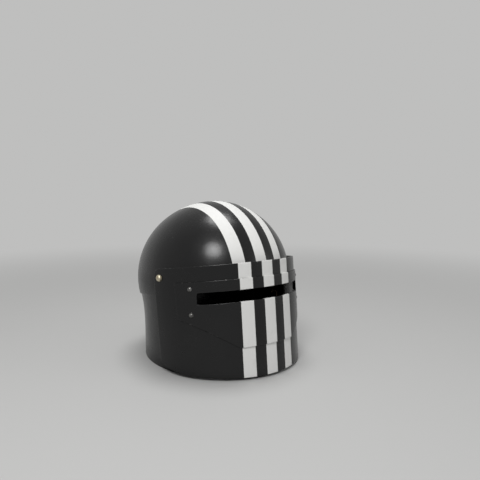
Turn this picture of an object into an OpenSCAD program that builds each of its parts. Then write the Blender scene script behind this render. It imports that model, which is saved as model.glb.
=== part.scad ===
// Closed steel helmet with an egg-shaped skull, a level rim and a wrap-round visor
// that lifts on two temple bolts. Millimetres, +Z up, the face looks along -Y.
// The skull and visor are drawn square to the skull's own axis and lean back over the rim.

/* [Helmet] */
// Backward lean of the skull's axis over the level rim, in degrees
tilt = 7.8; // [0:0.2:12]
// Thickness of every steel plate
plate = 2; // [1.2:0.1:2.6]
// Air between two plates that lie on each other
lap_gap = 0.1; // [0.05:0.01:0.2]
// Distance from the middle of the helmet back to the foot of the skull's axis
axis_fore = 16.5; // [0:0.1:30]

/* [Skull] */
// Half width of the skull at its widest level
skull_side = 112.5; // [105:0.5:116]
// Reach of the skull to the front at its widest level
skull_front = 121; // [110:0.5:124]
// Reach of the skull to the back at its widest level
skull_rear = 142; // [125:0.5:155]
// Height of the crown above the widest level
skull_rise = 116; // [105:0.5:125]
// Height of the widest level
skull_z = 122.4; // [115:0.2:130]
// How far the skull's lower edge lies under the pivot at the sides and back
edge_under = 25.5; // [20:0.5:30]
// How much higher that edge is over the brow
brow_rise = 10.5; // [8:0.5:13]
// How far forward the low edge runs before it steps up to the brow
brow_step = 74; // [66:1:85]
// Radius of that step
brow_r = 8; // [4:0.5:12]

/* [Neck] */
// How far the rim stands inside the skull at the sides
neck_in = 5; // [4:0.5:12]
// How far the rim stands inside the skull at the back
neck_rear_in = 3.5; // [1:0.5:12]
// Room between the visor and the rim at the front
neck_room = 3.5; // [3:0.5:8]
// Height of the straight part of the neck above the rim
neck_straight = 22; // [6:1:30]
// How far the back plate reaches up inside the skull
neck_lap = 11; // [9:0.5:13]
// How far round towards the face the back plate runs, in degrees past the ear
neck_wrap = 28; // [20:1:32]
// Height of the chin plate at the front
chin_h = 38; // [28:1:48]
// Extra height of the chin plate at its ends
chin_ear = 12; // [0:1:18]
// How far the chin plate laps inside the back plate, in degrees
chin_lap = 9; // [8:0.5:14]

/* [Visor] */
// Room between the skull and the visor at the sides
visor_room = 2.5; // [2:0.1:6]
// Room between the skull and the visor at the front
brow_room = 2; // [1.5:0.1:6]
// Distance of the oval's middle behind the skull's axis
visor_back = 3; // [0:0.5:6]
// Forward lean of the visor against the skull's axis, in degrees
visor_lean = 2.5; // [1.5:0.1:4]
// Radius of the visor's rear corners round the pivot, which is also how far it reaches above it
ear_r = 13; // [11:0.5:15]
// Gap between the visor's bottom edge and the level of the rim
visor_lift = 4; // [3:0.5:8]
// Where the bottom edge starts to sweep up, forward of the rim's middle line
sweep_y = 70; // [50:1:90]
// Radius of that sweep
sweep_r = 130; // [90:5:200]
// How far the pivot lies in front of the skull's axis
pivot_fore = 32; // [28:0.5:36]
// Height of the pivot
pivot_z = 130; // [128:0.5:134]

/* [Sight] */
// Height of the top edge of the sight plate
sight_top = 122.3; // [118:0.1:130]
// Height of the bottom edge of the sight plate at the front
sight_bottom = 29.3; // [22:0.1:40]
// Half width of that level bottom edge
sight_flat = 47; // [35:1:60]
// Height at which the slanted edge ends at the side
sight_side_z = 73; // [60:1:85]
// How far forward of the skull's axis the plate's back edge stands
sight_fore = 59; // [54:0.5:64]
// Radius of the corner between the level and the slanted edge
sight_r = 18; // [6:1:26]
// Distance of the eye slot's end from the sight plate's back edge, seen from the front
slot_end_in = 16.56; // [14:0.01:36]
// Height of the eye slot's lower edge
slot_low = 91.3; // [86:0.1:96]
// Height of the gap between the slot's edges
slot_h = 15.9; // [8:0.1:20]
// Radius of the slot's corners
slot_r = 2; // [1:0.5:4]
// Distance of the sight rivets from the sight plate's back edge, seen from the front
rivet_in = 12.46; // [8:0.01:14]
// Height of the upper sight rivets, along the leaning plate
rivet_high = 116.3; // [112:0.1:118]
// Height of the lower sight rivets, along the leaning plate
rivet_low = 81.3; // [76:0.1:86]

/* [Fasteners] */
// Diameter of a sight rivet's domed head
head_d = 7; // [5:0.5:9]
// Height of a sight rivet's domed head
head_h = 2.3; // [1.5:0.1:3]
// Diameter of every rivet's shank
shank_d = 4; // [3:0.2:4.6]
// Room round a rivet's shank
rivet_fit = 0.05; // [0.02:0.01:0.1]
// Diameter of the flat button inside each rivet
button_d = 7; // [6:0.5:9]
// Height of that button
button_h = 1.4; // [1:0.1:2]
// Air between that button and the plate it holds
button_air = 0.2; // [0.15:0.01:0.3]
// Diameter of the temple bolts
bolt_d = 6; // [5:0.5:7]
// Diameter of the temple bolts' domed heads
bolt_head_d = 10; // [8:0.5:12]
// Height of the temple bolts' domed heads
bolt_head_h = 3.4; // [2:0.1:5]
// Running room round a temple bolt
run_fit = 0.06; // [0.03:0.01:0.1]
// Outer diameter of the sleeve that a temple bolt turns in
sleeve_d = 9; // [8.5:0.5:10]
// Diameter of the sleeve's collar outside the skull
collar_d = 12; // [11:0.5:13]
// Width of a temple nut across its flats
nut_w = 10; // [9:0.5:13]
// Thickness of a temple nut
nut_h = 6; // [4:0.5:8]
// Diameter of the washer under a temple nut
washer_d = 14; // [12:0.5:16]
// Thickness of that washer
washer_h = 1.2; // [0.8:0.1:2]
// Length of the temple bolt past its nut
bolt_tail = 2; // [1:0.5:4]

/* [Lining] */
// Thickness of the leather
leather = 2; // [1.5:0.1:2.5]
// Air between a soft piece and its neighbour
soft_gap = 0.3; // [0.2:0.05:0.5]
// Air between the back plate's wall and the washer outside the strap
wall_air = 0.25; // [0.2:0.05:0.3]
// How far the leather band's lower edge lies above the pivot
band_over = 14; // [13:0.5:18]
// Height of the leather band
band_h = 20; // [16:1:24]
// Number of leather tongues
tongues = 8; // [6:1:10]
// Half width of a tongue at its foot
tongue_foot = 40; // [30:1:42]
// Half width of a tongue at its tip
tongue_tip = 7; // [5:0.5:8]
// How far the tongues' tips hang below the skull
tongue_drop = 14; // [8:1:20]
// How far the tongues lap down over the band
tongue_lap = 6; // [4:0.5:7]
// Distance of the tongues' tips from the skull's axis
tongue_ring = 16; // [12:1:18]
// Radius of the crown lace's ring
lace_ring = 21; // [19:1:24]
// How far the pads' lowest level lies above the skull's edge over the brow
pad_over = 4; // [2:0.5:7]
// Height of the pads
pad_h = 22; // [16:1:23]
// Thickness of the pads at their crown
pad_t = 12; // [8:0.5:14]
// Thickness of the pads at their edge
pad_edge = 4; // [2:0.5:6]
// How far the brow pad runs to each side, in degrees
brow_pad_turn = 42; // [30:1:44]
// How far the nape pad runs to each side, in degrees
nape_pad_turn = 30; // [20:1:36]
// Where the side pads start behind the ear, in degrees
side_pad_from = 2; // [0:1:6]
// Where the side pads end, in degrees
side_pad_to = 46; // [36:1:50]
// Diameter of the crown lace
lace_d = 3; // [2:0.5:4]

/* [Chin strap] */
// Width of the strap
strap_w = 20; // [15:1:24]
// Height at which the straps are riveted to the back plate
strap_z = 82; // [74:1:86]
// How far forward of the ear the straps hang, in degrees round the neck
strap_turn = 12; // [8:1:14]
// Air between the strap and the wall
strap_air = 1.8; // [1.6:0.1:3]
// Length of strap above its rivet
strap_end = 9; // [6:1:12]
// Diameter of the washers beside the strap
strap_washer_d = 9; // [7:0.5:11]
// Thickness of the washer inside the strap
strap_washer_h = 1; // [0.8:0.1:1.5]
// Length of the strap half that lies on the ground inside the rim
strap_run = 78; // [60:1:90]
// Radius of the bend where the long half meets the ground
strap_bend = 14; // [8:1:18]
// Diameter of the punched holes
hole_d = 4.2; // [3:0.1:5]
// Spacing of the punched holes
hole_step = 12; // [9:0.5:14]
// Number of punched holes
holes = 5; // [3:1:5]
// Thickness of the buckle's wire
wire_d = 3; // [2.5:0.1:4]
// Height of the buckle's frame
buckle_h = 20; // [16:1:24]
// Height of the buckle's upper bar above the ground
buckle_z = 30; // [26:1:36]
// Thickness of the buckle's tongue
tongue_d = 2.6; // [2:0.1:3]
// Wall of the tongue's eye
tongue_wall = 1.2; // [0.8:0.1:1.6]
// Room beside the tongue in the strap's slit
tongue_air = 0.5; // [0.3:0.1:1]
// Length of the slit above the buckle's bar
tongue_slot = 6; // [5:0.5:8]
// Room round the bar in the strap's fold
bar_air = 0.15; // [0.1:0.05:0.3]
// Length of strap folded back over the bar
fold_h = 22; // [18:1:28]
// Height of the keeper above the bar
keeper_up = 9; // [8:0.5:12]
// Height of the keeper
keeper_h = 8; // [6:0.5:10]
// Thickness of the keeper's leather
keeper_t = 1.2; // [1:0.1:1.3]

/* [Hidden] */
$fn = 96;
fine = 256;
far = 400;
cut = 1;
steel_black = [0.07, 0.07, 0.075];
steel_bare = [0.62, 0.62, 0.6];
brass = [0.72, 0.55, 0.33];
hide = [0.34, 0.2, 0.11];
cloth = [0.3, 0.29, 0.27];
hole_room = shank_d + 2 * rivet_fit;
skull_edge = pivot_z - edge_under;
brow_edge = skull_edge + brow_rise;
visor_top = pivot_z + ear_r;
band_z = pivot_z + band_over;
pad_z = brow_edge + pad_over;
visor_side = skull_side + visor_room + plate;
visor_depth = skull_front + visor_back + brow_room + plate;
neck_side = skull_side - neck_in;
neck_front = visor_depth - visor_back - plate - neck_room;
neck_rear = skull_rear - neck_rear_in;
neck_depth = (neck_front + neck_rear) / 2;
neck_back = (neck_rear - neck_front) / 2;

// Frames: the rim frame stands level, the skull frame leans back with the skull
module rim_frame() {
  translate([0, -axis_fore, 0]) children();
}

module skull_frame() {
  rim_frame() rotate([-tilt, 0, 0]) children();
}

function to_rim(p) =
  [p[0], p[1] * cos(tilt) + p[2] * sin(tilt), p[2] * cos(tilt) - p[1] * sin(tilt)];

// Closed skin between two grids of points, rows going up and columns going round
function flat(grid) = [for (row = grid) for (p = row) p];

function quad(a, b, c, d) = [[a, b, c], [a, c, d]];

module skin(outer, inner, closed = false) {
  rows = len(outer);
  cols = len(outer[0]);
  n = rows * cols;
  last = closed ? cols : cols - 1;
  faces = [
    for (i = [0 : rows - 2]) for (j = [0 : last - 1])
      let (k = (j + 1) % cols, a = i * cols + j, b = i * cols + k, c = a + cols, d = b + cols)
      each concat(quad(a, c, d, b), quad(a + n, b + n, d + n, c + n)),
    for (j = [0 : last - 1])
      let (k = (j + 1) % cols, t = (rows - 1) * cols)
      each concat(quad(j, k, k + n, j + n), quad(t + j, t + j + n, t + k + n, t + k)),
    if (!closed) for (i = [0 : rows - 2])
      let (a = i * cols, b = i * cols + cols - 1)
      each concat(quad(a, a + n, a + n + cols, a + cols), quad(b, b + cols, b + n + cols, b + n))
  ];
  polyhedron(points = concat(flat(outer), flat(inner)), faces = faces, convexity = 6);
}

// Egg of the skull: one oval to the front, a longer one to the back
function skull_depth(t) = sin(t) < 0 ? skull_front : skull_rear;

function skull_k(z, off) = sqrt(1 - pow((z - skull_z) / (skull_rise - off), 2));

function skull_pt(t, z, off) =
  [(skull_side - off) * skull_k(z, off) * cos(t), (skull_depth(t) - off) * skull_k(z, off) * sin(t), z];

function skull_n(t, z) =
  let (p = skull_pt(t, z, 0))
  [p[0] / pow(skull_side, 2), p[1] / pow(skull_depth(t), 2), (z - skull_z) / pow(skull_rise, 2)];

// Half outline of the egg about its widest level, from the level low up to the crown
module egg_outline(off, low) {
  intersection() {
    scale([skull_side - off, skull_rise - off]) circle(1);
    translate([0, low - skull_z]) square([skull_side + cut, skull_z + skull_rise + cut - low]);
  }
}

// Front half of the egg at turn 180, rear half at turn 0
module half_egg(depth, off, low, turn) {
  translate([0, 0, skull_z]) scale([1, (depth - off) / (skull_side - off), 1]) rotate([0, 0, turn])
    rotate_extrude(angle = 180) egg_outline(off, low);
}

module egg(off, low) {
  half_egg(skull_front, off, low, 180);
  half_egg(skull_rear, off, low, 0);
}

// Puts its children on the skull's outer skin with +Z along the outward normal
module on_skull(t, z) {
  n = skull_n(t, z);
  translate(skull_pt(t, z, 0))
    rotate([0, 0, atan2(n[1], n[0])])
      rotate([0, 90 - atan2(n[2], norm([n[0], n[1]])), 0]) children();
}

// Extrudes a side view, drawn in Y and Z, across the whole helmet
module across() {
  rotate([90, 0, 90]) linear_extrude(height = far, center = true) children();
}

// Low round cap standing on z = 0
module cap(d, h) {
  r = (h * h + d * d / 4) / (2 * h);
  rotate_extrude() intersection() {
    translate([0, h - r]) circle(r);
    square([d / 2, h]);
  }
}

// Rivet whose outer end is ground flush at z = 0, with a button inside the grip
module flush_rivet(grip) {
  translate([0, 0, -grip]) cylinder(d = shank_d, h = grip);
  translate([0, 0, -grip]) mirror([0, 0, 1]) cap(button_d, button_h);
}

// Where the fasteners of the fixed shell stand
skull_rivet_z = skull_edge + neck_lap / 2;
skull_rivet_turns = [for (i = [0 : 8]) -18 + i * 27];
liner_rivet_z = band_z + band_h * 0.3;
liner_rivet_turns = [for (i = [0 : tongues - 1]) (i + 0.5) * 360 / tongues];
skull_grip = 2 * plate + lap_gap + button_air;
liner_grip = plate + soft_gap + leather + 2 * button_air;

module brow_notch() {
  across() {
    translate([-far, -far]) square([far - brow_step - brow_r, far + brow_edge]);
    translate([-far, -far]) square([far - brow_step, far + brow_edge - brow_r]);
    translate([-brow_step - brow_r, brow_edge - brow_r]) circle(brow_r);
  }
}

module skull_dome() {
  color(steel_black) skull_frame() difference() {
    egg(0, skull_edge);
    egg(plate, skull_edge - cut);
    brow_notch();
    translate([0, -pivot_fore, pivot_z]) rotate([0, 90, 0])
      cylinder(d = sleeve_d + 2 * rivet_fit, h = far, center = true);
    for (t = skull_rivet_turns) on_skull(t, skull_rivet_z)
      cylinder(d = hole_room, h = 6 * plate, center = true);
    for (t = liner_rivet_turns) on_skull(t, liner_rivet_z)
      cylinder(d = hole_room, h = 6 * plate, center = true);
  }
}

// Neck: an oval tube that rises from the rim and flares into the skull's lower edge
function neck_pt(t, z, off) = [(neck_side - off) * cos(t), neck_back + (neck_depth - off) * sin(t), z];

function seat_pt(t, z, off) = to_rim(skull_pt(t, z, plate + lap_gap + off));

function bezier(a, b, c, d, u) =
  pow(1 - u, 3) * a + 3 * pow(1 - u, 2) * u * b + 3 * (1 - u) * u * u * c + pow(u, 3) * d;

function flare_pt(t, u, off) =
  let (
    a = neck_pt(t, neck_straight, off),
    d = seat_pt(t, skull_edge, off),
    reach = (d[2] - a[2]) / 3,
    rise = seat_pt(t, skull_edge + 1, off) - d
  )
  bezier(a, a + [0, 0, reach], d - rise / rise[2] * reach, d, u);

function wall_pt(t, z, off) =
  let (u = (z - neck_straight) / (seat_pt(t, skull_edge, off)[2] - neck_straight))
  u < 0 ? neck_pt(t, z, off) : flare_pt(t, u, off);

function back_column(t, off) = concat(
  [neck_pt(t, 0, off), neck_pt(t, neck_straight / 2, off)],
  [for (i = [0 : 7]) flare_pt(t, i / 8, off)],
  [for (i = [0 : 2]) seat_pt(t, skull_edge + neck_lap * i / 2, off)]
);

function turned(columns) = [for (i = [0 : len(columns[0]) - 1]) [for (c = columns) c[i]]];

back_turns = [for (i = [0 : 58]) -neck_wrap + i * (180 + 2 * neck_wrap) / 58];
side_rivet_turns = [for (s = [-1, 1]) -90 + s * (90 - neck_wrap + chin_lap / 2)];
side_rivet_heights = [10, chin_h - 6];

// Puts its children on the neck's outer skin with +Z along the outward normal
module on_neck(t, z) {
  translate(wall_pt(t, z, 0))
    rotate([0, 0, atan2(sin(t) / neck_depth, cos(t) / neck_side)]) rotate([0, 90, 0]) children();
}

module side_rivet_places() {
  for (t = side_rivet_turns) for (z = side_rivet_heights) on_neck(t, z) children();
}

module back_plate() {
  color(steel_black) difference() {
    rim_frame() skin(turned([for (t = back_turns) back_column(t, 0)]),
                     turned([for (t = back_turns) back_column(t, plate)]));
    skull_frame() for (t = skull_rivet_turns) on_skull(t, skull_rivet_z)
      cylinder(d = hole_room, h = 8 * plate, center = true);
    rim_frame() side_rivet_places() cylinder(d = hole_room, h = 4 * plate, center = true);
    rim_frame() on_wall(1) wall_rivet_bore();
    rim_frame() on_wall(-1) wall_rivet_bore();
  }
}

function chin_top(t) = chin_h + chin_ear * pow(cos(t), 2);

function chin_column(t, off) =
  [for (i = [0 : 6]) wall_pt(t, chin_top(t) * i / 6, plate + lap_gap + off)];

chin_from = 180 + neck_wrap - chin_lap;
chin_turns = [for (i = [0 : 40]) chin_from + i * (180 - 2 * neck_wrap + 2 * chin_lap) / 40];

module chin_plate() {
  color(steel_black) rim_frame() difference() {
    skin(turned([for (t = chin_turns) chin_column(t, 0)]),
         turned([for (t = chin_turns) chin_column(t, plate)]));
    side_rivet_places() cylinder(d = hole_room, h = 8 * plate, center = true);
  }
}

module skull_rivets() {
  color(steel_black) skull_frame()
    for (t = skull_rivet_turns) on_skull(t, skull_rivet_z) flush_rivet(skull_grip);
}

module side_rivets() {
  color(steel_black) rim_frame() side_rivet_places() flush_rivet(skull_grip);
}

// Temple pivot: the bolt turns with the visor in a sleeve that is set in the skull
function skull_x(y, z, off) =
  (skull_side - off)
  * sqrt(1 - pow(y / (skull_front - off), 2) - pow((z - skull_z) / (skull_rise - off), 2));

function visor_x(y, z, off) =
  let (level = y * cos(visor_lean) + z * sin(visor_lean) - visor_back)
  (visor_side - off) * sqrt(1 - pow(level / (visor_depth - off), 2));

sight_x = visor_x(-sight_fore, sight_side_z, -lap_gap - plate);
slot_half = sight_x - slot_end_in;
rivet_out = sight_x - rivet_in;
sleeve_face = skull_x(-pivot_fore + collar_d / 2, pivot_z, 0) + soft_gap;
sleeve_end = skull_x(-pivot_fore - washer_d / 2, pivot_z, plate) - soft_gap;
bolt_seat = visor_x(-pivot_fore + bolt_head_d / 2, pivot_z, 0) + soft_gap;
washer_seat = sleeve_end - run_fit;
nut_seat = washer_seat - washer_h - lap_gap;
bolt_end = nut_seat - nut_h - bolt_tail;

// Puts its children at both pivots with +Z pointing out of the helmet
module at_pivots() {
  for (side = [-1, 1]) translate([0, -pivot_fore, pivot_z]) rotate([0, side * 90, 0]) children();
}

module pivot_sleeves() {
  $fn = fine;
  color(steel_bare) skull_frame() difference() {
    union() {
      at_pivots() translate([0, 0, sleeve_end]) cylinder(d = sleeve_d, h = sleeve_face - sleeve_end);
      difference() {
        at_pivots() translate([0, 0, sleeve_end]) cylinder(d = collar_d, h = sleeve_face - sleeve_end);
        half_egg(skull_front, -lap_gap, skull_edge, 180);
      }
    }
    at_pivots() cylinder(d = bolt_d + 2 * run_fit, h = far);
  }
}

module pivot_bolts() {
  color(brass) skull_frame() at_pivots() {
    translate([0, 0, bolt_end]) cylinder(d = bolt_d, h = bolt_seat + bolt_head_h / 2 - bolt_end);
    translate([0, 0, bolt_seat]) cap(bolt_head_d, bolt_head_h);
  }
}

module taper_washers() {
  $fn = fine;
  color(brass) skull_frame() difference() {
    at_pivots() translate([0, 0, visor_side / 2])
      cylinder(d = bolt_head_d, h = bolt_seat - lap_gap - visor_side / 2);
    visor_tube(-lap_gap, 0);
    at_pivots() cylinder(d = bolt_d + 2 * rivet_fit, h = far);
  }
}

module pivot_washers() {
  color(steel_bare) skull_frame() at_pivots() translate([0, 0, washer_seat - washer_h]) difference() {
    cylinder(d = washer_d, h = washer_h);
    translate([0, 0, -cut]) cylinder(d = bolt_d + 2 * rivet_fit, h = washer_h + 2 * cut);
  }
}

module pivot_nuts() {
  color(steel_bare) skull_frame() at_pivots() translate([0, 0, nut_seat - nut_h]) difference() {
    cylinder(d = nut_w / cos(30), h = nut_h, $fn = 6);
    translate([0, 0, -cut]) cylinder(d = bolt_d + 2 * rivet_fit, h = nut_h + 2 * cut);
  }
}

// Leather lining, hung from a band that is riveted inside the skull
module liner_band() {
  turns = [for (i = [0 : 63]) i * 360 / 64];
  levels = [band_z, band_z + band_h / 2, band_z + band_h];
  off = plate + soft_gap;
  color(hide) skull_frame() difference() {
    skin([for (z = levels) [for (t = turns) skull_pt(t, z, off)]],
         [for (z = levels) [for (t = turns) skull_pt(t, z, off + leather)]], closed = true);
    for (t = liner_rivet_turns) on_skull(t, liner_rivet_z)
      cylinder(d = hole_room, h = 8 * plate, center = true);
  }
}

tongue_off = plate + 3 * soft_gap + leather;
tongue_foot_el = asin((band_z + band_h - tongue_lap - skull_z) / (skull_rise - tongue_off));

function radial(t) = 1 / sqrt(pow(cos(t) / skull_side, 2) + pow(sin(t) / skull_depth(t), 2));

function tongue_top_el(c) = acos(tongue_ring / (radial(c) - tongue_off - tongue_drop));

function tongue_pt(c, u, v, off) =
  let (
    el = tongue_foot_el + v * (tongue_top_el(c) - tongue_foot_el),
    hang = tongue_off + off + tongue_drop * v * v * (3 - 2 * v),
    half = tongue_foot + (tongue_tip - tongue_foot) * pow(v, 0.9),
    t = c + u * half / (radial(c) * cos(el)) * 180 / PI
  )
  [(skull_side - hang) * cos(el) * cos(t), (skull_depth(t) - hang) * cos(el) * sin(t),
   skull_z + (skull_rise - hang) * sin(el)];

module liner_tongues() {
  color(hide) skull_frame() for (i = [0 : tongues - 1])
    let (c = i * 360 / tongues)
    skin([for (v = [0 : 0.1 : 1.001]) [for (u = [-1 : 0.5 : 1]) tongue_pt(c, u, v, 0)]],
         [for (v = [0 : 0.1 : 1.001]) [for (u = [-1 : 0.5 : 1]) tongue_pt(c, u, v, leather)]]);
}

lace_off = tongue_off + tongue_drop + leather + soft_gap;
lace_z = skull_z + (skull_rise - lace_off) * sqrt(1 - pow(lace_ring / (skull_side - lace_off), 2))
  - lace_d / 2;

module crown_lace() {
  color(hide) skull_frame() translate([0, 0, lace_z])
    rotate_extrude() translate([lace_ring, 0]) circle(d = lace_d);
}

module liner_rivets() {
  color(steel_black) skull_frame()
    for (t = liner_rivet_turns) on_skull(t, liner_rivet_z) flush_rivet(liner_grip);
}

// Pad on the skull's inner side, crowned in the middle and drawn in at its edges
function pad_pt(t, v, crown) =
  skull_pt(t, pad_z + pad_h * v, plate + soft_gap + crown);

function crown_of(u, v) = pad_edge + (pad_t - pad_edge) * (1 - pow(2 * u - 1, 4)) * (1 - pow(2 * v - 1, 4));

module pad(from, to) {
  us = [for (i = [0 : 14]) i / 14];
  vs = [for (i = [0 : 6]) i / 6];
  color(cloth) skull_frame()
    skin([for (v = vs) [for (u = us) pad_pt(from + (to - from) * u, v, 0)]],
         [for (v = vs) [for (u = us) pad_pt(from + (to - from) * u, v, crown_of(u, v))]]);
}

module brow_pad() {
  pad(270 - brow_pad_turn, 270 + brow_pad_turn);
}

module nape_pad() {
  pad(90 - nape_pad_turn, 90 + nape_pad_turn);
}

module side_pad_left() {
  pad(side_pad_from, side_pad_to);
}

module side_pad_right() {
  pad(180 - side_pad_to, 180 - side_pad_from);
}

// Chin strap halves, riveted inside the back plate at both sides and hanging open
wall = wall_pt(-strap_turn, strap_z, plate);
wall_angle = atan2(-sin(strap_turn) / neck_depth, cos(strap_turn) / neck_side);
strap_grip = plate + strap_air + leather + strap_washer_h + 3 * rivet_fit;
strap_mid = strap_air + leather / 2;
bar_x = strap_air + leather + bar_air + wire_d / 2;
bar_ring = wire_d / 2 + bar_air;

// Puts its children on the inner wall with +X pointing inwards, on the wearer's left for side 1
module on_wall(side) {
  mirror([side < 0 ? 1 : 0, 0, 0]) translate([wall[0], wall[1], 0])
    rotate([0, 0, 180 + wall_angle]) children();
}

module wall_rivet_bore() {
  translate([0, 0, strap_z]) rotate([0, 90, 0]) cylinder(d = hole_room, h = 8 * plate, center = true);
}

module strap_top(low) {
  difference() {
    translate([strap_air, -strap_w / 2, low]) cube([leather, strap_w, strap_z + strap_end - low]);
    wall_rivet_bore();
  }
}

module strap_long() {
  ground = soft_gap;
  bend_x = strap_mid + strap_bend;
  tip_x = bend_x + strap_run;
  color(hide) rim_frame() on_wall(1) {
    strap_top(ground + leather / 2 + strap_bend);
    translate([bend_x, strap_w / 2, ground + leather / 2 + strap_bend])
      rotate([90, 0, 0]) rotate([0, 0, 180])
        rotate_extrude(angle = 90) translate([strap_bend - leather / 2, 0]) square([leather, strap_w]);
    difference() {
      union() {
        translate([bend_x, -strap_w / 2, ground]) cube([strap_run, strap_w, leather]);
        translate([tip_x, 0, ground]) cylinder(d = strap_w, h = leather);
      }
      for (i = [0 : holes - 1])
        translate([tip_x - i * hole_step, 0, ground - cut]) cylinder(d = hole_d, h = leather + 2 * cut);
    }
  }
}

module strap_short() {
  color(hide) rim_frame() on_wall(-1) difference() {
    union() {
      strap_top(buckle_z);
      translate([bar_x + bar_ring, -strap_w / 2, buckle_z]) cube([leather, strap_w, fold_h]);
      translate([bar_x, strap_w / 2, buckle_z]) rotate([90, 0, 0]) rotate([0, 0, 180])
        rotate_extrude(angle = 180) translate([bar_ring, 0]) square([leather, strap_w]);
    }
    translate([strap_air - cut, -tongue_d / 2 - tongue_air, buckle_z - bar_ring - leather - cut])
      cube([bar_x + bar_ring + leather + cut, tongue_d + 2 * tongue_air,
            bar_ring + leather + cut + tongue_slot]);
  }
}

module strap_keeper() {
  inner_x = leather * 2 + 2 * bar_ring + 2 * soft_gap;
  inner_y = strap_w + 2 * soft_gap;
  color(hide) rim_frame() on_wall(-1)
    translate([strap_air - soft_gap, 0, buckle_z + keeper_up])
      linear_extrude(height = keeper_h) difference() {
        translate([-keeper_t, -inner_y / 2 - keeper_t])
          square([inner_x + 2 * keeper_t, inner_y + 2 * keeper_t]);
        translate([0, -inner_y / 2]) square([inner_x, inner_y]);
      }
}

module strap_rivets() {
  color(steel_black) rim_frame() for (side = [-1, 1]) on_wall(side)
    translate([-plate, 0, strap_z]) rotate([0, -90, 0]) flush_rivet(strap_grip);
}

module strap_washers() {
  color(steel_bare) rim_frame() for (side = [-1, 1]) on_wall(side)
    translate([0, 0, strap_z]) rotate([0, 90, 0]) difference() {
      union() {
        translate([0, 0, wall_air]) cylinder(d = strap_washer_d, h = strap_air - wall_air - rivet_fit);
        translate([0, 0, strap_air + leather + rivet_fit])
          cylinder(d = strap_washer_d, h = strap_washer_h);
      }
      cylinder(d = hole_room, h = far, center = true);
    }
}

module bar(length) {
  rotate([90, 0, 0]) cylinder(d = wire_d, h = length, center = true);
}

module buckle_frame() {
  half = strap_w / 2 + wire_d;
  color(steel_bare) rim_frame() on_wall(-1) translate([bar_x, 0, buckle_z]) {
    for (z = [0, -buckle_h]) translate([0, 0, z]) bar(2 * half);
    for (y = [-half, half]) translate([0, y, -buckle_h]) cylinder(d = wire_d, h = buckle_h);
    for (y = [-half, half]) for (z = [0, -buckle_h]) translate([0, y, z]) sphere(d = wire_d);
  }
}

module buckle_tongue() {
  ring = wire_d / 2 + run_fit + tongue_wall;
  arm_x = wire_d / 2 + run_fit + tongue_d / 2;
  color(steel_bare) rim_frame() on_wall(-1) translate([bar_x, 0, buckle_z]) difference() {
    union() {
      rotate([90, 0, 0]) cylinder(r = ring, h = tongue_d, center = true);
      translate([arm_x, 0, -buckle_h - tongue_d / 2]) cylinder(d = tongue_d, h = buckle_h + tongue_d / 2);
    }
    rotate([90, 0, 0]) cylinder(d = wire_d + 2 * run_fit, h = 2 * tongue_d, center = true);
  }
}

// Visor: part of an oval tube, trimmed to its side view
module visor_tube(off, grow) {
  rotate([visor_lean, 0, 0]) translate([0, visor_back, -far / 8 - grow])
    linear_extrude(height = far * 0.55 + 2 * grow) scale([visor_side - off, visor_depth - off]) circle(1);
}

module visor_side_view() {
  intersection() {
    union() {
      translate([-far / 2, -far / 8]) square([far / 2 - pivot_fore, visor_top + far / 8]);
      translate([-far / 2, -far / 8]) square([far / 2 - pivot_fore + ear_r, pivot_z + far / 8]);
      translate([-pivot_fore, pivot_z]) circle(ear_r);
    }
    rotate(tilt) {
      translate([-far / 2 - sweep_y, visor_lift]) square([far / 2, far]);
      translate([-sweep_y, visor_lift + sweep_r]) circle(sweep_r);
    }
  }
}

module slot_opening() {
  rotate([90, 0, 0]) linear_extrude(height = far / 2) {
    translate([-slot_half + slot_r, slot_low]) square([2 * (slot_half - slot_r), slot_h]);
    translate([-slot_half, slot_low + slot_r]) square([2 * slot_half, slot_h - 2 * slot_r]);
    for (x = [-1, 1]) for (z = [slot_low + slot_r, slot_low + slot_h - slot_r])
      translate([x * (slot_half - slot_r), z]) circle(slot_r);
  }
}

// Puts its children on the visor's outer skin with +Z along the outward normal
module on_visor(x, z) {
  y = -visor_depth * sqrt(1 - pow(x / visor_side, 2));
  rotate([visor_lean, 0, 0]) translate([x, visor_back + y, z])
    rotate([0, 0, atan2(y / pow(visor_depth, 2), x / pow(visor_side, 2))]) rotate([0, 90, 0]) children();
}

module sight_rivet_places() {
  for (x = [-rivet_out, rivet_out]) for (z = [rivet_low, rivet_high]) on_visor(x, z) children();
}

module sight_rivet_bores() {
  sight_rivet_places() cylinder(d = hole_room, h = 8 * plate, center = true);
}

module visor_plate() {
  color(steel_black) skull_frame() difference() {
    intersection() {
      visor_tube(0, 0);
      across() visor_side_view();
    }
    visor_tube(plate, cut);
    slot_opening();
    sight_rivet_bores();
    at_pivots() cylinder(d = bolt_d + 2 * rivet_fit, h = far);
  }
}

// Front view of the sight plate: a level edge below that turns and slants up to both sides
module sight_front_view() {
  slope = atan2(sight_side_z - sight_bottom, sight_x - sight_flat);
  bite = sight_r * tan(slope / 2);
  level_x = sight_flat - bite;
  turn_x = sight_flat + bite * cos(slope);
  turn_z = sight_bottom + bite * sin(slope);
  end_z = sight_bottom + (visor_side - sight_flat) * tan(slope);
  polygon([[-visor_side, end_z], [-turn_x, turn_z], [-level_x, sight_bottom],
           [level_x, sight_bottom], [turn_x, turn_z], [visor_side, end_z],
           [visor_side, sight_top], [-visor_side, sight_top]]);
  for (x = [-level_x, level_x]) translate([x, sight_bottom + sight_r]) circle(sight_r);
}

module sight_plate() {
  color(steel_black) skull_frame() difference() {
    intersection() {
      visor_tube(-lap_gap - plate, 0);
      rotate([90, 0, 0]) translate([0, 0, sight_fore]) linear_extrude(height = far / 2) sight_front_view();
    }
    visor_tube(-lap_gap, cut);
    slot_opening();
    sight_rivet_bores();
  }
}

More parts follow.
